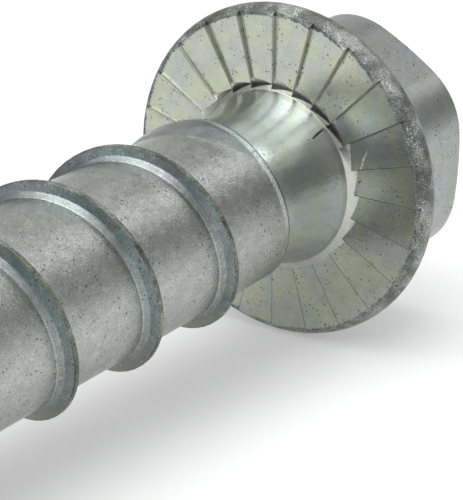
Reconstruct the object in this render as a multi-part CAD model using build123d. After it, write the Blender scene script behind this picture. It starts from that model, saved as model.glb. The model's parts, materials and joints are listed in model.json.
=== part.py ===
from build123d import *
import os
from math import asin, atan, cos, degrees, radians, sin, sqrt, tan

# Concrete screw anchor: a one-piece forged and rolled screw with a flanged hexagon head.
# Millimetres. The origin is the centre of the bearing face, under the head. +Z is up and +X runs
# from the head to the tip. The screw lies on its flange rim and on its last full thread crest.
# It is modelled along its own axis, with the tip up, and then laid down.

# Shank: a blank whose threaded length is rolled out thicker than the neck.
length_under_head = 101.6
core_radius = 6.22
neck_undercut = 0.27
tip_taper_length = 4.0
tip_taper_depth = 2.02
tip_edge_bevel = 0.6

# Slanted start of the rolled length, with a rounded edge.
rolled_start = 6.2
rolled_start_slant_deg = 10.5
rolled_start_slant_side_deg = -26.6
rolled_start_round = 0.5

# Flare from the neck towards the bearing face: a wide arc, a steep step at its end, then a flat
# conical ring that runs on down between the teeth. Each reach is measured out from the neck.
flare_arc_radius = 10.0
flare_reach = 0.65
flare_height = 0.6
step_reach = 0.77
step_height = 0.2
ring_reach = 1.15
ring_buried_depth = 0.9

# Thread: one right-hand ridge with straight flanks and concave roots, on the core.
pitch = 8.09
thread_height = 0.91
crest_half_width = 0.15
flank_angle_deg = 22.0
flank_foot_height = 0.3
root_half_width = 0.9
root_hollow = 0.25
root_sink = 0.04
ridge_buried_depth = 0.7
thread_start_gap = 4.886
thread_start_deg = 114.0
thread_end_gap = 7.67
tip_runout_turns = 0.5
tip_runout_sink = 1.5

# Run-out at the head: the ridge becomes a low, wide swelling that sinks into the core.
# It ends short of the rolled length's slanted start by the gap given here.
head_runout_turns = 0.6
head_runout_sink = 0.2
runout_end_gap = 0.25
swelling_turns = 0.245
swelling_height = 0.42
swelling_foot_height = 0.17
swelling_crest_half_width = 0.35
swelling_foot_half_width = 1.85
swelling_half_width = 3.05
swelling_hollow = 0.4

# Flange with ratchet teeth on its bearing face.
flange_radius = 12.85
flange_thickness = 3.3
flange_back_radius = 9.9
tooth_ring_inset = 0.65
tooth_count = 24
tooth_height = 0.36
tooth_phase_deg = 13.0
rim_bevel_width = 0.3
rim_bevel_depth = 0.4
rim_widest_depth = 1.15
rim_back_depth = 2.15
rim_back_inset = 0.38

# Hexagon, forged slightly off the shank's axis.
head_height = 11.45
across_flats = 19.0
hex_corner_round = 4.9
hex_phase_deg = -3.6
hex_top_radius = 9.1
hex_top_slope_deg = 30.0
hex_off_axis = 0.22
hex_off_axis_deg = -150.0
hex_buried_depth = 0.8

# Worked out from the sizes above.
neck_radius = core_radius - neck_undercut
thread_radius = core_radius + thread_height
thread_start = rolled_start + thread_start_gap
thread_end = length_under_head - thread_end_gap
thread_turns = (thread_end - thread_start) / pitch
tooth_ring_radius = flange_radius - tooth_ring_inset


def turned(*outline):
    """Solid of revolution about Z, from (radius, height) points in order."""
    with BuildSketch(Plane.XZ) as profile:
        with BuildLine():
            Polyline(*outline, outline[0])
        make_face()
    return revolve(profile.sketch, Axis.Z)


def neck():
    """Neck with its flare, step and ring, turned. The ring's foot is buried in the flange."""
    ring_slope = (ring_reach - step_reach) / step_height
    foot = (neck_radius + ring_reach + ring_buried_depth * ring_slope, -ring_buried_depth)
    step_foot = (neck_radius + step_reach, step_height)
    flare_end = (neck_radius + flare_reach, flare_height)
    rise = flare_arc_radius - flare_reach
    flare_start = flare_height + sqrt(flare_arc_radius**2 - rise**2)
    half_turn = asin((flare_start - flare_height) / flare_arc_radius) / 2
    middle = (
        neck_radius + flare_arc_radius * (1 - cos(half_turn)),
        flare_start - flare_arc_radius * sin(half_turn),
    )
    neck_end = max(flare_start, rolled_start + neck_radius)
    with BuildSketch(Plane.XZ) as outline:
        with BuildLine():
            Polyline((0, -ring_buried_depth), foot, step_foot, flare_end)
            ThreePointArc(flare_end, middle, (neck_radius, flare_start))
            Polyline((neck_radius, flare_start), (neck_radius, neck_end), (0, neck_end))
            Line((0, neck_end), (0, -ring_buried_depth))
        make_face()
    return revolve(outline.sketch, Axis.Z)


def rolled_start_plane():
    """Slanted plane at which the rolled length begins."""
    side = radians(rolled_start_slant_side_deg)
    slant = radians(rolled_start_slant_deg)
    normal = (-sin(slant) * cos(side), -sin(slant) * sin(side), cos(slant))
    return Plane(origin=(0, 0, rolled_start), z_dir=normal)


def core():
    """Rolled core with its slanted, rounded start and its tapered tip."""
    tip_radius = core_radius - tip_taper_depth
    rod = turned(
        (0, 0),
        (core_radius, 0),
        (core_radius, length_under_head - tip_taper_length),
        (tip_radius, length_under_head),
        (0, length_under_head),
    )
    rod = chamfer(rod.edges().sort_by(Axis.Z)[-1], tip_edge_bevel)
    rod = split(rod, bisect_by=rolled_start_plane(), keep=Keep.TOP)
    return fillet(rod.edges().sort_by(Axis.Z)[0], rolled_start_round)


def thread_section(crest, flank_foot, side, hollow, base_radius):
    """Symmetrical thread section in the plane through the axis, from (radius, height) points.

    The curve from the flank's foot to the side bends at a point that keeps the given share of its rise.
    """
    buried = base_radius - ridge_buried_depth
    bend = (side[0] + hollow * (flank_foot[0] - side[0]), (flank_foot[1] + side[1]) / 2)
    with BuildSketch(Plane.XZ) as section:
        with BuildLine() as upper:
            Polyline((crest[0], 0), crest, flank_foot)
            Bezier(flank_foot, bend, side)
            Polyline(side, (buried, side[1]), (buried, 0))
            mirror(upper.line, about=Plane.XZ)
        make_face()
    return section.sketch


def ridge_section():
    """Ridge at full height."""
    flank = tan(radians(flank_angle_deg))
    foot_radius = core_radius + flank_foot_height
    return thread_section(
        (thread_radius, crest_half_width),
        (foot_radius, crest_half_width + (thread_radius - foot_radius) * flank),
        (core_radius - root_sink, root_half_width),
        root_hollow,
        core_radius,
    )


def swelling_section(base_radius):
    """Low and wide rounded section of the run-out, on the given base radius."""
    return thread_section(
        (base_radius + swelling_height, swelling_crest_half_width),
        (base_radius + swelling_foot_height, swelling_foot_half_width),
        (base_radius - root_sink, swelling_half_width),
        swelling_hollow,
        base_radius,
    )


def head_runout():
    """Ridge that fades out towards the head, sections in order from the full ridge."""
    path = Helix(pitch, head_runout_turns * pitch, thread_radius, direction=(0, 0, -1))
    end_base_radius = core_radius - swelling_height - head_runout_sink
    stations = [
        (0, ridge_section()),
        (swelling_turns, swelling_section(core_radius)),
        (head_runout_turns, swelling_section(end_base_radius)),
    ]
    sections = [Pos(0, 0, -turn * pitch) * Rot(0, 0, -turn * 360) * shape for turn, shape in stations]
    # A helix towards -Z starts on the -X side, and is turned round to the section's side.
    return sweep(sections, path=path.rotate(Axis.Z, 180), is_frenet=True, multisection=True)


def tip_runout():
    """Ridge that sinks into the core towards the tip."""
    height = tip_runout_turns * pitch
    cone = atan(tip_runout_sink / height)
    path = Helix(pitch / cos(cone), height, thread_radius, cone_angle=-degrees(cone))
    ridge = sweep(ridge_section(), path=path, is_frenet=True)
    return Pos(0, 0, thread_turns * pitch) * Rot(0, 0, thread_turns * 360) * ridge


def thread():
    """Ridge at full height with its two run-outs."""
    path = Helix(pitch, thread_turns * pitch, thread_radius)
    full_ridge = sweep(ridge_section(), path=path, is_frenet=True)
    place = Pos(0, 0, thread_start) * Rot(0, 0, thread_start_deg)
    runout_end = rolled_start_plane().offset(runout_end_gap)
    fading_ridge = split(place * head_runout(), bisect_by=runout_end, keep=Keep.TOP)
    return [place * full_ridge, fading_ridge, place * tip_runout()]


def flange_blank():
    """Flange disc with its rounded rim and sloping back."""
    bevel_end = (tooth_ring_radius + rim_bevel_width, -rim_bevel_depth)
    widest = (flange_radius, -rim_widest_depth)
    back_edge = (flange_radius - rim_back_inset, -rim_back_depth)
    back = -flange_thickness
    with BuildSketch(Plane.XZ) as outline:
        with BuildLine():
            Polyline((0, back), (0, 0), (tooth_ring_radius, 0), bevel_end)
            ThreePointArc(bevel_end, widest, back_edge)
            Polyline(back_edge, (flange_back_radius, back), (0, back))
        make_face()
    return revolve(outline.sketch, Axis.Z)


def tooth_gap(angle):
    """Cutter for one ratchet ramp: high at its first edge, low at the next tooth's riser."""
    reach = 1.2 * flange_radius
    clear_height = 3 * tooth_height
    first = radians(angle)
    last = radians(angle + 360 / tooth_count)
    drop = tooth_height * reach / tooth_ring_radius
    centre = Vector(0, 0, 0)
    high = Vector(reach * cos(first), reach * sin(first), 0)
    low = Vector(reach * cos(last), reach * sin(last), -drop)
    ramp = Face(Wire.make_polygon([centre, high, low]))
    return extrude(ramp, amount=clear_height, dir=(0, 0, 1))


def flange():
    """Flange with the ring of ratchet teeth."""
    step = 360 / tooth_count
    return flange_blank() - [tooth_gap(tooth_phase_deg + tooth * step) for tooth in range(tooth_count)]


def hexagon():
    """Hexagon with rounded corners and a bevelled top, slightly off the shank's axis."""
    foot = hex_buried_depth - flange_thickness
    with BuildSketch(Plane.XY.offset(-head_height)) as outline:
        RegularPolygon(across_flats / 2, 6, major_radius=False, rotation=hex_phase_deg)
        fillet(outline.vertices(), hex_corner_round)
    prism = extrude(outline.sketch, amount=head_height + foot)
    outside = across_flats
    slope_drop = (outside - hex_top_radius) * tan(radians(hex_top_slope_deg))
    bevelled = turned(
        (0, -head_height),
        (hex_top_radius, -head_height),
        (outside, slope_drop - head_height),
        (outside, foot),
        (0, foot),
    )
    turn = radians(hex_off_axis_deg)
    return Pos(hex_off_axis * cos(turn), hex_off_axis * sin(turn), 0) * (prism & bevelled)


def lying(screw):
    """Lay the upright screw down on its flange rim and last full crest."""
    slope = asin((flange_radius - thread_radius) / (thread_end + rim_widest_depth))
    axis = (cos(slope), 0, -sin(slope))
    upward = (sin(slope), 0, cos(slope))
    return Plane(origin=(0, 0, 0), x_dir=upward, z_dir=axis).location * screw


def screw_anchor():
    """The whole screw, as one solid."""
    return lying(flange() + hexagon() + neck() + core() + thread())


os.makedirs("parts", exist_ok=True)
export_step(screw_anchor(), "parts/screw_anchor.step")
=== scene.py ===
import json
import logging
import math
from dataclasses import dataclass, field
from enum import Enum
from typing import Any, Union

import bpy
from mathutils import Matrix, Vector


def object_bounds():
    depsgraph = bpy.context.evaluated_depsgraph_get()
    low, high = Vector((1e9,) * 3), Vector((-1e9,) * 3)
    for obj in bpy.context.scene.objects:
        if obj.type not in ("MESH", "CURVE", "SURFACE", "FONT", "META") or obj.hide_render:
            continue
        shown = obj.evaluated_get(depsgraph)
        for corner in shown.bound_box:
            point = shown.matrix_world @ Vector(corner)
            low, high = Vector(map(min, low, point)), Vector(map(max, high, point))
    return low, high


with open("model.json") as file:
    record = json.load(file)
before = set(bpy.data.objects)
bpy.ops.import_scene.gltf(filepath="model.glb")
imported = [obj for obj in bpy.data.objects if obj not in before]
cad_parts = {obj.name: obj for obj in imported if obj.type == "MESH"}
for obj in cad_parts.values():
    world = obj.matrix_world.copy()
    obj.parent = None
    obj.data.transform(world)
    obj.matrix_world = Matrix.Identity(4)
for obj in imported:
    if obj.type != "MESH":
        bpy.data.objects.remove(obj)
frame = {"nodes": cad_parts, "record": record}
cad_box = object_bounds()

log = logging.getLogger("concrete_screw")

Colour = tuple[float, float, float]
Point = tuple[float, float, float]
Number = Union[float, "Value"]

# Where a soft edge begins and where it ends.
Edge = tuple[float, float]
# The middles of a band's two edges, and half the width of each edge.
Band = tuple[float, float, float]

MM = 0.001
UPRIGHT: Point = (0.0, 0.0, 1.0)
SIDEWAYS: Point = (0.0, 1.0, 0.0)
WHITE: Colour = (1.0, 1.0, 1.0)
NOISE_MIDDLE = 0.5

# The Mix node's colour sockets share their names with its other kinds, so they go by number.
MIX_SHARE, MIX_FIRST, MIX_SECOND, MIX_RESULT = 0, 6, 7, 2

SCREW_NODE = "screw_anchor"


class Value:
    """A number socket of a node graph that takes part in Python arithmetic."""

    def __init__(self, graph: "Graph", socket: bpy.types.NodeSocket) -> None:
        """Keep the graph and the socket.

        Args:
            graph: The graph that holds the socket's node.
            socket: The output socket that carries the number.
        """
        self.graph = graph
        self.socket = socket

    def _math(self, operation: str, first: Number, second: Number) -> "Value":
        """Add one Math node.

        Args:
            operation: Name of the node's operation.
            first: The first operand.
            second: The second operand.

        Returns:
            The node's result.
        """
        return self.graph.value("ShaderNodeMath", {"operation": operation}, {0: first, 1: second})

    def __add__(self, other: Number) -> "Value":
        """Sum."""
        return self._math("ADD", self, other)

    __radd__ = __add__

    def __sub__(self, other: Number) -> "Value":
        """Difference."""
        return self._math("SUBTRACT", self, other)

    def __rsub__(self, other: Number) -> "Value":
        """Difference, reflected."""
        return self._math("SUBTRACT", other, self)

    def __mul__(self, other: Number) -> "Value":
        """Product."""
        return self._math("MULTIPLY", self, other)

    __rmul__ = __mul__

    def __truediv__(self, other: Number) -> "Value":
        """Quotient."""
        return self._math("DIVIDE", self, other)

    def __rtruediv__(self, other: Number) -> "Value":
        """Quotient, reflected."""
        return self._math("DIVIDE", other, self)

    def __pow__(self, other: Number) -> "Value":
        """Power."""
        return self._math("POWER", self, other)

    def __neg__(self) -> "Value":
        """Negative."""
        return self._math("MULTIPLY", self, -1.0)

    def most(self, other: Number) -> "Value":
        """The larger of the two."""
        return self._math("MAXIMUM", self, other)

    def least(self, other: Number) -> "Value":
        """The smaller of the two."""
        return self._math("MINIMUM", self, other)

    def angle_over(self, other: Number) -> "Value":
        """Angle, in radians, whose tangent is this over the other."""
        return self._math("ARCTAN2", self, other)

    def fraction(self) -> "Value":
        """What is left past the last whole number."""
        return self._math("FRACT", self, 0.0)

    def rise(self, low: float, high: float) -> "Value":
        """Smooth step from 0 at low to 1 at high.

        Args:
            low: Where the step begins.
            high: Where it ends.

        Returns:
            The step, held within 0 and 1.
        """
        settings = {"interpolation_type": "SMOOTHSTEP"}
        inputs = {"Value": self, "From Min": low, "From Max": high}
        return self.graph.value("ShaderNodeMapRange", settings, inputs)

    def band(self, low: float, high: float, soft: float) -> "Value":
        """1 between low and high, and 0 outside, with soft edges.

        Args:
            low: Middle of the lower edge.
            high: Middle of the upper edge.
            soft: Half the width of each edge.

        Returns:
            The band, held within 0 and 1.
        """
        return self.rise(low - soft, low + soft) * (1 - self.rise(high - soft, high + soft))


class Graph:
    """Builds the nodes of one material or world."""

    def __init__(self, tree: bpy.types.NodeTree) -> None:
        """Empty the tree.

        Args:
            tree: The node tree to fill.
        """
        self.tree = tree
        tree.nodes.clear()

    def node(
        self, kind: str, settings: dict[str, Any] | None = None, inputs: dict[Any, Any] | None = None
    ) -> bpy.types.Node:
        """Add one node.

        Args:
            kind: The node's type.
            settings: Properties of the node, set before its sockets. "stops" are a ramp's.
            inputs: Numbers, colours, Values or sockets, by input name or index.

        Returns:
            The new node.
        """
        made = self.tree.nodes.new(kind)
        for name, setting in (settings or {}).items():
            if name == "stops":
                self._set_stops(made.color_ramp, setting)
            else:
                setattr(made, name, setting)
        for name, given in (inputs or {}).items():
            given = given.socket if isinstance(given, Value) else given
            if isinstance(given, bpy.types.NodeSocket):
                self.tree.links.new(given, made.inputs[name])
            else:
                made.inputs[name].default_value = given
        return made

    def _set_stops(self, ramp: bpy.types.ColorRamp, stops: list[tuple[float, Colour]]) -> None:
        """Give a ramp its stops.

        Args:
            ramp: The ramp, which has two stops when new.
            stops: Position and colour of each stop, in order.
        """
        while len(ramp.elements) < len(stops):
            ramp.elements.new(1.0)
        for element, (position, colour) in zip(ramp.elements, stops):
            element.position = position
            element.color = (*colour, 1.0)

    def value(self, kind: str, settings: dict[str, Any], inputs: dict[Any, Any], output: Any = 0) -> Value:
        """Add a node and wrap one of its outputs.

        Args:
            kind: The node's type.
            settings: Properties of the node.
            inputs: What its sockets are given.
            output: Name or index of the output.

        Returns:
            The output as a Value.
        """
        return Value(self, self.node(kind, settings, inputs).outputs[output])

    def vector(self, operation: str, first: Any, second: Any) -> bpy.types.NodeSocket:
        """Add one Vector Math node.

        Args:
            operation: Name of the node's operation.
            first: The first vector or socket.
            second: The second vector, socket or, for SCALE, number.

        Returns:
            The vector that it gives.
        """
        inputs = {0: first, ("Scale" if operation == "SCALE" else 1): second}
        return self.node("ShaderNodeVectorMath", {"operation": operation}, inputs).outputs[0]

    def dot(self, vector: Any, direction: Point) -> Value:
        """Length of a vector along a direction.

        Args:
            vector: Vector socket.
            direction: The direction.

        Returns:
            Their dot product.
        """
        inputs = {0: vector, 1: direction}
        return self.value("ShaderNodeVectorMath", {"operation": "DOT_PRODUCT"}, inputs, "Value")

    def mix(self, share: Number, first: Any, second: Any, blend: str = "MIX") -> bpy.types.NodeSocket:
        """Mix two colours.

        Args:
            share: Share of the second colour.
            first: The first colour or socket.
            second: The second colour or socket.
            blend: How the second is laid over the first.

        Returns:
            The mixed colour.
        """
        first = (*first, 1.0) if isinstance(first, tuple) else first
        second = (*second, 1.0) if isinstance(second, tuple) else second
        settings = {"data_type": "RGBA", "blend_type": blend}
        inputs = {MIX_SHARE: share, MIX_FIRST: first, MIX_SECOND: second}
        return self.node("ShaderNodeMix", settings, inputs).outputs[MIX_RESULT]

    def grey(self, shade: Number) -> bpy.types.NodeSocket:
        """Grey colour of a given brightness."""
        return self.node("ShaderNodeCombineColor", {}, {0: shade, 1: shade, 2: shade}).outputs[0]


@dataclass(frozen=True)
class Noise:
    """Noise with grains of about a given size, with its number of finer layers and their strength."""

    size_mm: float
    detail: float = 2.0
    roughness: float = 0.5

    def lay(self, graph: Graph, where: Any) -> Value:
        """Add the noise.

        Args:
            graph: The graph to add to.
            where: Vector socket to read, in metres.

        Returns:
            The noise, mostly within 0.3 and 0.7.
        """
        scale = 1.0 / (self.size_mm * MM)
        inputs = {"Vector": where, "Scale": scale, "Detail": self.detail, "Roughness": self.roughness}
        return graph.value("ShaderNodeTexNoise", {}, inputs)


@dataclass(frozen=True)
class Wander:
    """Small offset that makes a straight or round shape irregular."""

    waves_per_metre: float
    reach_mm: float

    def lay(self, graph: Graph, where: Any) -> bpy.types.NodeSocket:
        """Move each point by the offset.

        Args:
            graph: The graph to add to.
            where: Vector socket to move, in metres.

        Returns:
            The moved point, in metres.
        """
        inputs = {"Vector": where, "Scale": self.waves_per_metre}
        noise = graph.node("ShaderNodeTexNoise", {}, inputs).outputs["Color"]
        offset = graph.vector("SUBTRACT", noise, (NOISE_MIDDLE, NOISE_MIDDLE, NOISE_MIDDLE))
        return graph.vector("ADD", where, graph.vector("SCALE", offset, self.reach_mm * MM))


@dataclass(frozen=True)
class Specks:
    """Scattered round specks, one in each cell, that show in patches.

    The radius is a share of the cell. Within the solid share of it, the speck is at full strength.
    """

    cell_mm: float
    radius: float
    patches: Noise
    patch_edge: Edge = (0.50, 0.60)
    solid_share: float = 0.4

    def lay(self, graph: Graph, where: Any, patch_where: Any) -> Value:
        """Add the specks.

        Args:
            graph: The graph to add to.
            where: Vector socket that places the specks, in metres.
            patch_where: Vector socket that places the patches, in metres.

        Returns:
            1 in the middle of a speck and 0 outside.
        """
        inputs = {"Vector": where, "Scale": 1.0 / (self.cell_mm * MM)}
        distance = graph.value("ShaderNodeTexVoronoi", {}, inputs, "Distance")
        speck = 1 - distance.rise(self.solid_share * self.radius, self.radius)
        return speck * self.patches.lay(graph, patch_where).rise(*self.patch_edge)


@dataclass(frozen=True)
class Place:
    """Where a point of the surface lies on the screw.

    The point is in metres and the rest in millimetres: along the axis from the bearing face, above
    the axis, to its side towards +Y, out from it, and past the slanted start of the core.
    """

    point: bpy.types.NodeSocket
    along: Value
    above: Value
    side: Value
    out: Value
    past_start: Value


@dataclass(frozen=True)
class ScrewFrame:
    """The screw's own axis in the shared frame, with the sizes that its finish follows, in millimetres.

    The flare ring is a cone, whose slope is how far it narrows in each millimetre towards the neck.
    """

    axis: Point
    core_radius: float = 6.22
    thread_radius: float = 7.13
    start_at: float = 6.2
    start_slant_deg: float = 10.5
    start_slant_side_deg: float = -26.6
    ring_radius: float = 7.1
    ring_slope: float = 1.9
    tooth_count: int = 24
    tooth_phase_deg: float = 13.0
    flange_radius: float = 12.85
    flange_thickness: float = 3.3

    @property
    def up(self) -> Point:
        """The direction square to the axis, in the upright plane."""
        return (-self.axis[2], 0.0, self.axis[0])

    @property
    def start_lean(self) -> Point:
        """Direction square to the core's slanted start: its upward, sideways and axial parts."""
        slant, side = math.radians(self.start_slant_deg), math.radians(self.start_slant_side_deg)
        return (-math.sin(slant) * math.cos(side), math.sin(slant) * math.sin(side), math.cos(slant))

    def place(self, graph: Graph) -> Place:
        """Work out where each point of the surface lies.

        Args:
            graph: The graph to add to.

        Returns:
            The point's place on the screw.
        """
        point = graph.node("ShaderNodeTexCoord").outputs["Object"]
        along = graph.dot(point, self.axis) / MM
        above = graph.dot(point, self.up) / MM
        side = graph.dot(point, SIDEWAYS) / MM
        out = (above * above + side * side) ** 0.5
        lean = self.start_lean
        past_start = lean[0] * above + lean[1] * side + lean[2] * (along - self.start_at)
        return Place(point, along, above, side, out, past_start)


class Zone(Enum):
    """Parts of the screw that the plating shows differently."""

    CORE = "core"
    ROOT = "root"
    FLANK = "flank"
    CREST = "crest"
    NECK = "neck"
    RING = "ring"
    TEETH = "teeth"
    RIM = "rim"
    HEXAGON = "hexagon"


@dataclass(frozen=True)
class ZoneEdges:
    """Where the zones begin and end, in millimetres from the size or face that each one names."""

    past_start: Edge = (-0.06, 0.06)
    root_above_core: Band = (0.03, 0.24, 0.04)
    flank_above_core: Edge = (0.18, 0.28)
    crest_from_thread_radius: Edge = (-0.12, -0.06)
    neck_above_bearing_face: Edge = (0.5, 0.7)
    ring_above_bearing_face: Band = (-0.3, 0.60, 0.04)
    ring_past_its_radius: Edge = (0.0, 0.4)
    teeth_above_bearing_face: Band = (-0.85, 0.06, 0.03)
    teeth_past_ring: Edge = (0.02, 0.08)
    rim_from_flange_radius: Edge = (-0.77, -0.65)
    hexagon_past_flange: Edge = (-0.06, 0.0)

    def masks(
        self, screw: ScrewFrame, place: Place, crest_wear: Value, rim_wear: Value
    ) -> dict[Zone, Value]:
        """Masks of the zones, in the order in which they are laid on.

        Args:
            screw: The screw's sizes.
            place: Where each point lies on the screw.
            crest_wear: How far the crest's edge strays, in millimetres.
            rim_wear: How far the rim's edge strays, in millimetres.

        Returns:
            Each zone's mask. The core lies under all of them.
        """
        along, out = place.along, place.out
        shank = place.past_start.rise(*self.past_start)
        head = 1 - shank
        above_core = out - screw.core_radius
        from_thread_radius = out - screw.thread_radius
        past_ring_radius = out - screw.ring_radius
        past_ring = past_ring_radius + along * screw.ring_slope
        from_flange_radius = out - screw.flange_radius
        past_flange = along + screw.flange_thickness
        within_ring = 1 - past_ring_radius.rise(*self.ring_past_its_radius)
        ring = along.band(*self.ring_above_bearing_face) * within_ring
        teeth = along.band(*self.teeth_above_bearing_face) * past_ring.rise(*self.teeth_past_ring)
        return {
            Zone.ROOT: shank * above_core.band(*self.root_above_core),
            Zone.FLANK: shank * above_core.rise(*self.flank_above_core),
            Zone.CREST: shank * (from_thread_radius + crest_wear).rise(*self.crest_from_thread_radius),
            Zone.NECK: head * along.rise(*self.neck_above_bearing_face),
            Zone.RING: head * ring,
            Zone.TEETH: head * teeth,
            Zone.RIM: (from_flange_radius + rim_wear).rise(*self.rim_from_flange_radius),
            Zone.HEXAGON: 1 - past_flange.rise(*self.hexagon_past_flange),
        }


@dataclass(frozen=True)
class ZoneLook:
    """Look of the plating on one zone: two tints, and how strong each kind of variation is."""

    tint: Any
    second_tint: Any
    roughness: Number
    mottle: Number
    specks: Number
    grain: Number

    def under(self, graph: Graph, mask: Value, cover: "ZoneLook") -> "ZoneLook":
        """Lay another zone's look over this one.

        Args:
            graph: The graph to add to.
            mask: Where the other look shows.
            cover: The other look.

        Returns:
            The look of the two together.
        """
        return ZoneLook(
            graph.mix(mask, self.tint, cover.tint),
            graph.mix(mask, self.second_tint, cover.second_tint),
            self.roughness + mask * (cover.roughness - self.roughness),
            self.mottle + mask * (cover.mottle - self.mottle),
            self.specks + mask * (cover.specks - self.specks),
            self.grain + mask * (cover.grain - self.grain),
        )


ZONE_LOOKS: dict[Zone, ZoneLook] = {
    Zone.CORE: ZoneLook((0.38, 0.40, 0.38), (0.37, 0.385, 0.37), 0.23, 0.35, 0.90, 0.9),
    Zone.ROOT: ZoneLook((0.26, 0.30, 0.29), (0.25, 0.27, 0.265), 0.34, 0.50, 0.60, 1.0),
    Zone.FLANK: ZoneLook((0.19, 0.245, 0.24), (0.235, 0.26, 0.26), 0.20, 0.45, 1.00, 0.8),
    Zone.CREST: ZoneLook((0.21, 0.22, 0.19), (0.11, 0.12, 0.10), 0.38, 1.00, 1.00, 1.4),
    Zone.NECK: ZoneLook((0.55, 0.60, 0.63), (0.55, 0.59, 0.56), 0.19, 0.14, 0.50, 0.35),
    Zone.RING: ZoneLook((0.50, 0.53, 0.48), (0.50, 0.50, 0.47), 0.20, 0.20, 0.20, 0.3),
    Zone.TEETH: ZoneLook((0.44, 0.46, 0.36), (0.40, 0.43, 0.40), 0.17, 0.20, 1.00, 0.3),
    Zone.RIM: ZoneLook((0.30, 0.31, 0.30), (0.16, 0.17, 0.16), 0.46, 1.00, 1.00, 2.3),
    Zone.HEXAGON: ZoneLook((0.32, 0.35, 0.345), (0.31, 0.33, 0.30), 0.30, 0.20, 1.30, 0.7),
}


@dataclass(frozen=True)
class Mark:
    """A nick or scratch: a short line on the surface, from end to end in millimetres.

    Shade darkens it below 0 and lightens it above. Depth sinks it, or raises it below 0. Its edge
    softens between two shares of its half width.
    """

    start: Point
    end: Point
    half_width: float
    shade: float
    depth: float
    edge: Edge = (0.5, 1.5)

    def lay(self, graph: Graph, where: Any) -> Value:
        """Add the mark.

        Args:
            graph: The graph to add to.
            where: Vector socket to read, in metres.

        Returns:
            1 along the mark and 0 away from it.
        """
        first = Vector(self.start) * MM
        run = Vector(self.end) * MM - first
        offset = graph.vector("SUBTRACT", where, tuple(first))
        share = (graph.dot(offset, tuple(run)) / run.length_squared).most(0.0).least(1.0)
        gap = graph.vector("SUBTRACT", offset, graph.vector("SCALE", tuple(run), share))
        away = graph.value("ShaderNodeVectorMath", {"operation": "LENGTH"}, {0: gap}, "Value") / MM
        return 1 - away.rise(self.edge[0] * self.half_width, self.edge[1] * self.half_width)


NECK_CRACK = Mark((0.40, 5.00, 4.70), (1.80, 4.70, 4.00), 0.09, -0.85, 0.6)
NECK_LINE = Mark((1.80, 4.70, 4.00), (6.00, 4.20, 3.90), 0.04, -0.40, 0.3)
TOOTH_SCRATCHES = (
    Mark((0.00, 8.20, 3.30), (0.10, 7.90, 2.60), 0.07, 0.90, -0.6),
    Mark((0.10, 7.90, 2.60), (0.10, 7.70, 1.80), 0.08, 0.70, -0.6),
)
TOOTH_NICKS = (
    Mark((-0.10, 7.60, 0.90), (-0.10, 7.50, 0.80), 0.06, -0.90, 0.8),
    Mark((-0.30, 10.8, -1.1), (-0.30, 10.75, -1.15), 0.07, -0.90, 0.8),
)
MARKS: tuple[Mark, ...] = (NECK_CRACK, NECK_LINE, *TOOTH_SCRATCHES, *TOOTH_NICKS)


@dataclass(frozen=True)
class Textures:
    """The variation that covers the whole screw."""

    patches: Value
    clouds: Value
    fine: Value
    streaks: Value
    dark_specks: Value
    light_dust_and_glints: Value


@dataclass(frozen=True)
class SurfaceVariation:
    """Random variation of the plating, with its sizes in millimetres.

    Streaks run along the screw, because their noise is squeezed that way once the round is unrolled.
    """

    patches: Noise = Noise(2.6)
    patch_edge: Edge = (0.40, 0.60)
    clouds: Noise = Noise(0.80, 3.0, 0.6)
    fine: Noise = Noise(0.12, 4.0, 0.8)
    streaks: Noise = Noise(0.40, 3.0, 0.7)
    streak_radius: float = 6.0
    streak_squeeze: float = 0.06
    dark_specks: Specks = Specks(0.30, 0.30, Noise(0.9))
    dark_wander: Wander = Wander(9000.0, 0.08)
    # Light specks: partly real dust, partly painted glints.
    light_dust_and_glints: Specks = Specks(0.17, 0.36, Noise(0.8))

    def lay(self, graph: Graph, place: Place) -> Textures:
        """Add the variation.

        Args:
            graph: The graph to add to.
            place: Where each point lies on the screw.

        Returns:
            Each kind of variation.
        """
        where = place.point
        turn = place.side.angle_over(place.above)
        unrolled = {0: turn * self.streak_radius * MM, 1: place.along * self.streak_squeeze * MM}
        unrolled_place = graph.node("ShaderNodeCombineXYZ", {}, unrolled).outputs[0]
        return Textures(
            patches=self.patches.lay(graph, where).rise(*self.patch_edge),
            clouds=self.clouds.lay(graph, where) - NOISE_MIDDLE,
            fine=self.fine.lay(graph, where),
            streaks=self.streaks.lay(graph, unrolled_place) - NOISE_MIDDLE,
            dark_specks=self.dark_specks.lay(graph, self.dark_wander.lay(graph, where), where),
            light_dust_and_glints=self.light_dust_and_glints.lay(graph, where, where),
        )


@dataclass(frozen=True)
class ToothMasks:
    """Masks of the painted shade lines at the teeth's feet and edges, of the painted highlight on each
    riser and of the painted shadow wedges on the flare ring.
    """

    foot_shade: Value
    riser_highlights: Value
    wedges: Value


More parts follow.
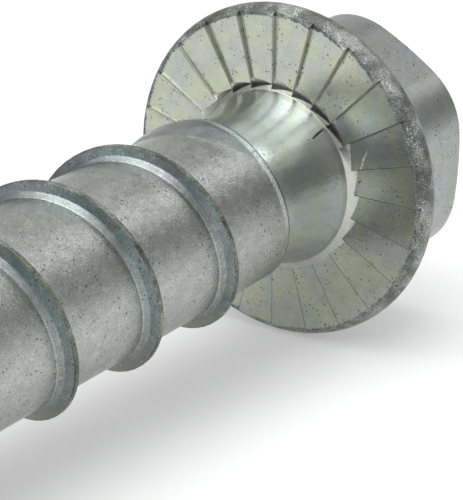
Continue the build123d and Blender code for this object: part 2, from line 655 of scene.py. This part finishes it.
@dataclass(frozen=True)
class ToothShading:
    """Painted shade lines, painted riser highlights and painted shadow wedges of the ratchet teeth, in
    millimetres.
    """

    ramp_facing: Edge = (0.6, 0.9)
    hairline: Edge = (0.03, 0.07)
    foot_shade_reach: Edge = (0.03, 0.16)
    riser_reach: Edge = (0.25, 0.30)
    step_from_ring_radius: Edge = (-0.44, -0.40)
    wedge_setback: float = 0.02
    wedge_narrowing: float = 0.30
    wedge_edge: Edge = (-0.05, 0.05)
    wedge_above_axis: Edge = (1.0, 4.5)
    wedge_side: Edge = (-5.0, -3.0)

    def lay(self, graph: Graph, screw: ScrewFrame, place: Place, masks: dict[Zone, Value]) -> ToothMasks:
        """Add the painted shade lines, riser highlights and shadow wedges.

        Args:
            graph: The graph to add to.
            screw: The screw's sizes.
            place: Where each point lies on the screw.
            masks: The zones' masks.

        Returns:
            Their masks.
        """
        turn = (-place.side).angle_over(place.above)
        tooth_turn = 2 * math.pi / screw.tooth_count
        teeth_passed = (turn - math.radians(screw.tooth_phase_deg)) / tooth_turn + screw.tooth_count
        share = teeth_passed.fraction()
        past_edge = share * place.out * tooth_turn
        before_foot = (1 - share) * place.out * tooth_turn
        normal = graph.node("ShaderNodeNewGeometry").outputs["True Normal"]
        on_ramp = graph.dot(normal, screw.axis).rise(*self.ramp_facing)
        # Painted shade: dark lines at the foot of each riser and along each tooth's high edge.
        lines = (1 - before_foot.rise(*self.foot_shade_reach)).most(1 - past_edge.rise(*self.hairline))
        near_riser = 1 - past_edge.least(before_foot).rise(*self.riser_reach)
        inside_rim = masks[Zone.TEETH] * (1 - masks[Zone.RIM])

        # Painted shadow: dark wedges on the upper side of the flare ring, next to the teeth's inner ends.
        past_ring_radius = place.out - screw.ring_radius
        past_step = past_ring_radius.rise(*self.step_from_ring_radius)
        ring = masks[Zone.RING] * (1 - masks[Zone.TEETH]) * past_step
        past_wedge = past_ring_radius + self.wedge_setback + self.wedge_narrowing * share
        upper_side = place.above.rise(*self.wedge_above_axis) * place.side.rise(*self.wedge_side)
        return ToothMasks(
            foot_shade=lines * on_ramp * masks[Zone.TEETH],
            riser_highlights=(1 - on_ramp) * near_riser * inside_rim,
            wedges=ring * past_wedge.rise(*self.wedge_edge) * upper_side,
        )


@dataclass(frozen=True)
class StartMasks:
    """Masks of the painted highlight along the rounded edge and of the dark grit at the core's slanted
    start.
    """

    lip_highlight: Value
    grit: Value


@dataclass(frozen=True)
class CoreStart:
    """Painted highlight along the rounded edge and dark grit at the slanted start of the core, in
    millimetres past it.
    """

    lip_highlight: Band = (0.34, 0.82, 0.10)
    lip_above_axis: Edge = (-2.0, 3.0)
    lip_grain: Edge = (0.40, 0.55)
    grit: Band = (0.02, 0.36, 0.05)
    grit_grain: Edge = (0.42, 0.50)

    def lay(self, place: Place, fine: Value) -> StartMasks:
        """Add the painted highlight along the rounded edge, and the grit.

        Args:
            place: Where each point lies on the screw.
            fine: The fine noise that breaks them up.

        Returns:
            Their masks.
        """
        # Painted highlight: a bright band on the upper side of the rounded edge at the core's start.
        upper_lip_highlight = place.past_start.band(*self.lip_highlight) * place.above.rise(*self.lip_above_axis)
        return StartMasks(
            lip_highlight=upper_lip_highlight * fine.rise(*self.lip_grain),
            grit=place.past_start.band(*self.grit) * fine.rise(*self.grit_grain),
        )


@dataclass(frozen=True)
class ShadeStrengths:
    """How much each kind of variation lightens or darkens the plating."""

    clouds: float = 1.5
    fine: float = 4.0
    lip_highlight: float = 1.9
    streaks: float = 0.15
    tooth_foot_shade: float = 0.60
    wedges: float = 0.90


@dataclass(frozen=True)
class CoverStrengths:
    """How far each kind of spot, and the painted olive reflection on the lower flanks, hides the colour
    under it.
    """

    specks: float = 0.85
    dust_and_glints: float = 0.35
    lower_flank_reflection: float = 0.6
    grit: float = 0.85


@dataclass(frozen=True)
class DullStrengths:
    """How much rougher each kind of variation makes the plating."""

    clouds: float = 0.25
    specks: float = 0.25
    tooth_foot_shade: float = 0.2
    riser_highlights: float = 0.25


@dataclass(frozen=True)
class HeightStrengths:
    """How far each kind of variation stands up or sinks in, as a share of the relief's height."""

    clouds: float = 1.0
    fine: float = 2.0
    specks: float = 0.5
    dust_and_glints: float = 0.4
    streaks: float = 0.9


@dataclass(frozen=True)
class Surface:
    """What the plating's colour, roughness and relief follow.

    Specks are dark; the light specks are dust and painted glints; each comes at the strength that the zones
    give it.
    """

    look: ZoneLook
    textures: Textures
    specks: Value
    dust_and_glints: Value
    streaks: Value
    lower_flank_reflection: Value
    teeth: ToothMasks
    start: StartMasks
    marks: list[tuple[Mark, Value]]


@dataclass(frozen=True)
class ZincPlating:
    """Clear zinc plating over forged and rolled steel."""

    screw: ScrewFrame
    speck_colour: Colour = (0.05, 0.055, 0.05)
    # Colour of the light specks: dust, and painted glints.
    dust_and_glint_colour: Colour = (0.86, 0.87, 0.88)
    # Painted highlight: the pale colour given to each riser of the teeth.
    riser_highlight_colour: Colour = (0.78, 0.80, 0.74)
    # Painted reflection: olive laid over the lower side of the flanks.
    olive: Colour = (0.28, 0.29, 0.21)
    low_side_above_axis: Edge = (-6.5, -3.5)
    edges: ZoneEdges = ZoneEdges()
    variation: SurfaceVariation = SurfaceVariation()
    teeth: ToothShading = ToothShading()
    start: CoreStart = CoreStart()
    wear: Noise = Noise(0.30, 3.0, 0.7)
    crest_wear_mm: float = 0.21
    rim_wear_mm: float = 0.525
    mark_wander: Wander = Wander(2500.0, 0.2)
    shades: ShadeStrengths = ShadeStrengths()
    covers: CoverStrengths = CoverStrengths()
    dullness: DullStrengths = DullStrengths()
    heights: HeightStrengths = HeightStrengths()
    edge_softness_mm: float = 0.06
    edge_samples: int = 6
    relief_height_mm: float = 0.012

    def dress(self, piece: bpy.types.Object) -> None:
        """Put the plating on a piece.

        Args:
            piece: The object whose slots take the material.
        """
        material = bpy.data.materials.new("zinc_plating")
        material.use_nodes = True
        self._build(Graph(material.node_tree))
        piece.data.materials.clear()
        piece.data.materials.append(material)

    def _build(self, graph: Graph) -> None:
        """Fill the material's graph.

        Args:
            graph: The graph to fill.
        """
        surface = self._surface(graph)
        metal = {
            "Base Color": self._colour(graph, surface),
            "Metallic": 1.0,
            "Roughness": self._roughness(surface),
            "Normal": self._normal(graph, self._height(surface)),
        }
        shader = graph.node("ShaderNodeBsdfPrincipled", {}, metal)
        graph.node("ShaderNodeOutputMaterial", {}, {"Surface": shader.outputs[0]})

    def _surface(self, graph: Graph) -> Surface:
        """Work out the zones, the variation and the marks.

        Args:
            graph: The graph to add to.

        Returns:
            What the plating's colour, roughness and relief follow.
        """
        place = self.screw.place(graph)
        textures = self.variation.lay(graph, place)
        wear = self.wear.lay(graph, place.point) - NOISE_MIDDLE
        crest_wear, rim_wear = wear * self.crest_wear_mm, wear * self.rim_wear_mm
        masks = self.edges.masks(self.screw, place, crest_wear, rim_wear)
        look = ZONE_LOOKS[Zone.CORE]
        for zone, mask in masks.items():
            look = look.under(graph, mask, ZONE_LOOKS[zone])
        wandering = self.mark_wander.lay(graph, place.point)
        return Surface(
            look=look,
            textures=textures,
            specks=textures.dark_specks * look.specks,
            dust_and_glints=textures.light_dust_and_glints * look.grain,
            streaks=textures.streaks * masks[Zone.NECK],
            # Painted reflection: the lower side of the flanks, which is tinted olive.
            lower_flank_reflection=(1 - place.above.rise(*self.low_side_above_axis)) * masks[Zone.FLANK],
            teeth=self.teeth.lay(graph, self.screw, place, masks),
            start=self.start.lay(place, textures.fine),
            marks=[(mark, mark.lay(graph, wandering)) for mark in MARKS],
        )

    def _shade(self, surface: Surface) -> Value:
        """Brightness of the plating, by which its colour is multiplied.

        Args:
            surface: The surface's variation.

        Returns:
            The brightness, 1 where nothing changes it.
        """
        look, textures, shades = surface.look, surface.textures, self.shades
        shade = 1 + look.mottle * textures.clouds * shades.clouds
        shade = shade + look.mottle * (textures.fine - NOISE_MIDDLE) * shades.fine
        # Painted highlight along the rounded edge at the core's slanted start lightens the plating.
        shade = shade + surface.start.lip_highlight * shades.lip_highlight + surface.streaks * shades.streaks
        # Painted shade at the teeth's feet and edges darkens the plating.
        shade = shade * (1 - surface.teeth.foot_shade * shades.tooth_foot_shade)
        # Painted shadow wedges on the flare ring darken the plating.
        shade = shade * (1 - surface.teeth.wedges * shades.wedges)
        for mark, line in surface.marks:
            shade = shade * (1 + line * mark.shade)
        return shade

    def _colour(self, graph: Graph, surface: Surface) -> bpy.types.NodeSocket:
        """Colour of the plating.

        Args:
            graph: The graph to add to.
            surface: The surface's variation.

        Returns:
            The colour.
        """
        look, covers = surface.look, self.covers
        colour = graph.mix(surface.textures.patches, look.tint, look.second_tint)
        # Painted highlight: each riser is made pale.
        colour = graph.mix(surface.teeth.riser_highlights, colour, self.riser_highlight_colour)
        colour = graph.mix(1.0, colour, graph.grey(self._shade(surface)), "MULTIPLY")
        colour = graph.mix(surface.specks.least(1.0) * covers.specks, colour, self.speck_colour)
        # Painted reflection: olive on the lower side of the flanks.
        colour = graph.mix(surface.lower_flank_reflection * covers.lower_flank_reflection, colour, self.olive)
        colour = graph.mix(surface.start.grit * covers.grit, colour, self.speck_colour)
        # Light specks: dust, and painted glints.
        return graph.mix((surface.dust_and_glints * covers.dust_and_glints).least(1.0), colour, self.dust_and_glint_colour)

    def _roughness(self, surface: Surface) -> Value:
        """Roughness of the plating.

        Args:
            surface: The surface's variation.

        Returns:
            The roughness.
        """
        look, dullness = surface.look, self.dullness
        roughness = look.roughness + surface.textures.clouds * dullness.clouds * look.mottle
        roughness = roughness + surface.specks * dullness.specks
        # The painted shade lines and riser highlights are also made rougher.
        return roughness + surface.teeth.foot_shade * dullness.tooth_foot_shade + surface.teeth.riser_highlights * dullness.riser_highlights

    def _height(self, surface: Surface) -> Value:
        """Relief of the plating.

        Args:
            surface: The surface's variation.

        Returns:
            The height, as a share of the relief's height.
        """
        look, textures, heights = surface.look, surface.textures, self.heights
        height = (textures.fine - NOISE_MIDDLE) * look.grain * heights.fine
        height = height + textures.clouds * look.grain * heights.clouds
        height = height - surface.specks * heights.specks + surface.dust_and_glints * heights.dust_and_glints
        height = height + surface.streaks * heights.streaks
        for mark, line in surface.marks:
            height = height - line * mark.depth
        return height

    def _normal(self, graph: Graph, height: Value) -> bpy.types.NodeSocket:
        """Add the relief and the soft edges.

        Args:
            graph: The graph to add to.
            height: The relief, as a share of the relief's height.

        Returns:
            The direction that the surface faces.
        """
        radius = self.edge_softness_mm * MM
        soft_edges = graph.node("ShaderNodeBevel", {"samples": self.edge_samples}, {"Radius": radius})
        relief = {
            "Strength": 1.0,
            "Distance": self.relief_height_mm * MM,
            "Height": height,
            "Normal": soft_edges.outputs[0],
        }
        return graph.node("ShaderNodeBump", {}, relief).outputs[0]


@dataclass
class Screw:
    """The screw itself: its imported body, dressed in its plating."""

    body: bpy.types.Object
    screw: ScrewFrame

    def dress(self) -> None:
        """Give the body its plating."""
        ZincPlating(self.screw).dress(self.body)


@dataclass(frozen=True)
class Lamp:
    """A soft rectangular lamp aimed at the screw, with its sizes in metres."""

    name: str
    azimuth_deg: float
    elevation_deg: float
    distance: float
    width: float
    height: float
    radiance: float

    def build(self, target: Vector) -> None:
        """Add the lamp.

        Args:
            target: The point that it faces.
        """
        turn, lift = math.radians(self.azimuth_deg), math.radians(self.elevation_deg)
        away = Vector((math.cos(turn) * math.cos(lift), math.sin(turn) * math.cos(lift), math.sin(lift)))
        data = bpy.data.lights.new(self.name, "AREA")
        data.shape = "RECTANGLE"
        data.size = self.width
        data.size_y = self.height
        data.energy = self.radiance * math.pi * self.width * self.height
        lamp = bpy.data.objects.new(self.name, data)
        lamp.location = target + away * self.distance
        lamp.rotation_euler = (-away).to_track_quat("-Z", "Y").to_euler()
        bpy.context.scene.collection.objects.link(lamp)


@dataclass(frozen=True)
class PhotoCamera:
    """Camera at the photograph's viewing angle, placed in metres, with its lens in millimetres."""

    lens: float = 118.018
    sensor: float = 36.0
    nearest: float = 0.005
    at: Point = (0.09706205, 0.06574560, 0.03393863)
    right: Point = (-0.58185775, 0.81329057, 0.0)
    up: Point = (-0.26103949, -0.18675718, 0.94709035)
    back: Point = (0.77025966, 0.55107186, 0.32096707)

    def build(self) -> None:
        """Add the camera and make it the scene's."""
        data = bpy.data.cameras.new("camera")
        data.lens = self.lens
        data.sensor_width = self.sensor
        data.clip_start = self.nearest
        camera = bpy.data.objects.new("camera", data)
        bpy.context.scene.collection.objects.link(camera)
        rows = [(*row, 0.0) for row in (self.right, self.up, self.back)]
        camera.matrix_world = Matrix([*rows, (*self.at, 1.0)]).transposed()
        bpy.context.scene.camera = camera


@dataclass(frozen=True)
class Floor:
    """White floor, in metres, with a share of white of its own that the eye and mirrors see."""

    height: float
    size: float = 6.0
    colour: Colour = (0.95, 0.95, 0.95)
    own_white: float = 0.30

    def build(self) -> None:
        """Add the floor under the screw."""
        bpy.ops.object.select_all(action="DESELECT")
        bpy.ops.mesh.primitive_plane_add(size=self.size, location=(0.0, 0.0, self.height))
        floor = bpy.context.object
        floor.name = "floor"
        floor.data.materials.append(self._white())

    def _white(self) -> bpy.types.Material:
        """Make the floor's material.

        Returns:
            The material, matt white with its own white mixed in where it is seen directly.
        """
        material = bpy.data.materials.new("white_floor")
        material.use_nodes = True
        graph = Graph(material.node_tree)
        matt = graph.node("ShaderNodeBsdfDiffuse", {}, {"Color": (*self.colour, 1.0)})
        white = graph.node("ShaderNodeEmission", {}, {"Color": (*WHITE, 1.0), "Strength": 1.0})
        share = self._seen_directly(graph) * self.own_white
        mixed = graph.node("ShaderNodeMixShader", {}, {0: share, 1: matt.outputs[0], 2: white.outputs[0]})
        graph.node("ShaderNodeOutputMaterial", {}, {"Surface": mixed.outputs[0]})
        return material

    def _seen_directly(self, graph: Graph) -> Value:
        """1 for what the camera sees straight, in a mirror or through glass.

        Args:
            graph: The graph to add to.

        Returns:
            The mask.
        """
        path = graph.node("ShaderNodeLightPath").outputs
        camera, mirror, glass = (
            Value(graph, path[name]) for name in ("Is Camera Ray", "Is Glossy Ray", "Is Transmission Ray")
        )
        return camera.most(mirror).most(glass)


@dataclass(frozen=True)
class Surround:
    """Grey surround that brightens upward, the same for every ray.

    Each stop gives the height of a direction, from 0 level to 1 straight up, and its colour.
    """

    stops: list[tuple[float, Colour]] = field(
        default_factory=lambda: [
            (0.0, (0.42, 0.42, 0.42)),
            (0.20, (0.40, 0.40, 0.40)),
            (0.41, (0.44, 0.44, 0.44)),
            (0.59, (0.58, 0.58, 0.58)),
            (0.74, (0.62, 0.62, 0.63)),
            (0.87, (0.85, 0.85, 0.87)),
            (1.0, (1.05, 1.05, 1.07)),
        ]
    )

    def build(self) -> None:
        """Add the surround as the scene's world."""
        world = bpy.data.worlds.new("surround")
        bpy.context.scene.world = world
        world.use_nodes = True
        graph = Graph(world.node_tree)
        direction = graph.node("ShaderNodeTexCoord").outputs["Generated"]
        height = graph.dot(direction, UPRIGHT)
        shade = graph.node("ShaderNodeValToRGB", {"stops": self.stops}, {0: height}).outputs[0]
        background = graph.node("ShaderNodeBackground", {}, {"Color": shade, "Strength": 1.0})
        graph.node("ShaderNodeOutputWorld", {}, {"Surface": background.outputs[0]})


@dataclass(frozen=True)
class Studio:
    """White floor, soft lamps, grey surround and the camera."""

    floor: Floor
    target: Vector
    surround: Surround = Surround()
    camera: PhotoCamera = PhotoCamera()
    lamps: tuple[Lamp, ...] = (
        Lamp("overhead_softbox", -60.0, 86.0, 0.45, 0.34, 0.34, 1.9),
        Lamp("front_softbox", -6.0, 55.0, 0.50, 0.62, 0.36, 1.95),
        Lamp("front_fill", -27.0, 17.0, 0.50, 0.28, 0.24, 0.6),
        Lamp("back_softbox", 158.0, 40.0, 0.55, 0.11, 0.09, 4.8),
        Lamp("side_fill", -145.0, 16.0, 0.50, 0.35, 0.35, 0.3),
    )

    def build(self) -> None:
        """Add all of the studio."""
        self.floor.build()
        for lamp in self.lamps:
            lamp.build(self.target)
            log.info("lamp %s", lamp.name)
        self.surround.build()
        self.camera.build()
        bpy.context.scene.view_settings.view_transform = "Standard"


def bearing_axis() -> Point:
    """The screw's axis as the record's bearing face gives it."""
    mounts = frame["record"]["mounts"]
    return next(tuple(mount["axis"]) for mount in mounts if mount["name"] == "bearing_face")


def main() -> None:
    """Dress the screw and set up the studio."""
    logging.basicConfig(level=logging.INFO, format="%(name)s: %(message)s")
    low, high = cad_box
    screw = Screw(frame["nodes"][SCREW_NODE], ScrewFrame(bearing_axis()))
    screw.dress()
    log.info("dressed %s", screw.body.name)
    Studio(Floor(low.z), (low + high) / 2).build()


if __name__ == "__main__":
    main()
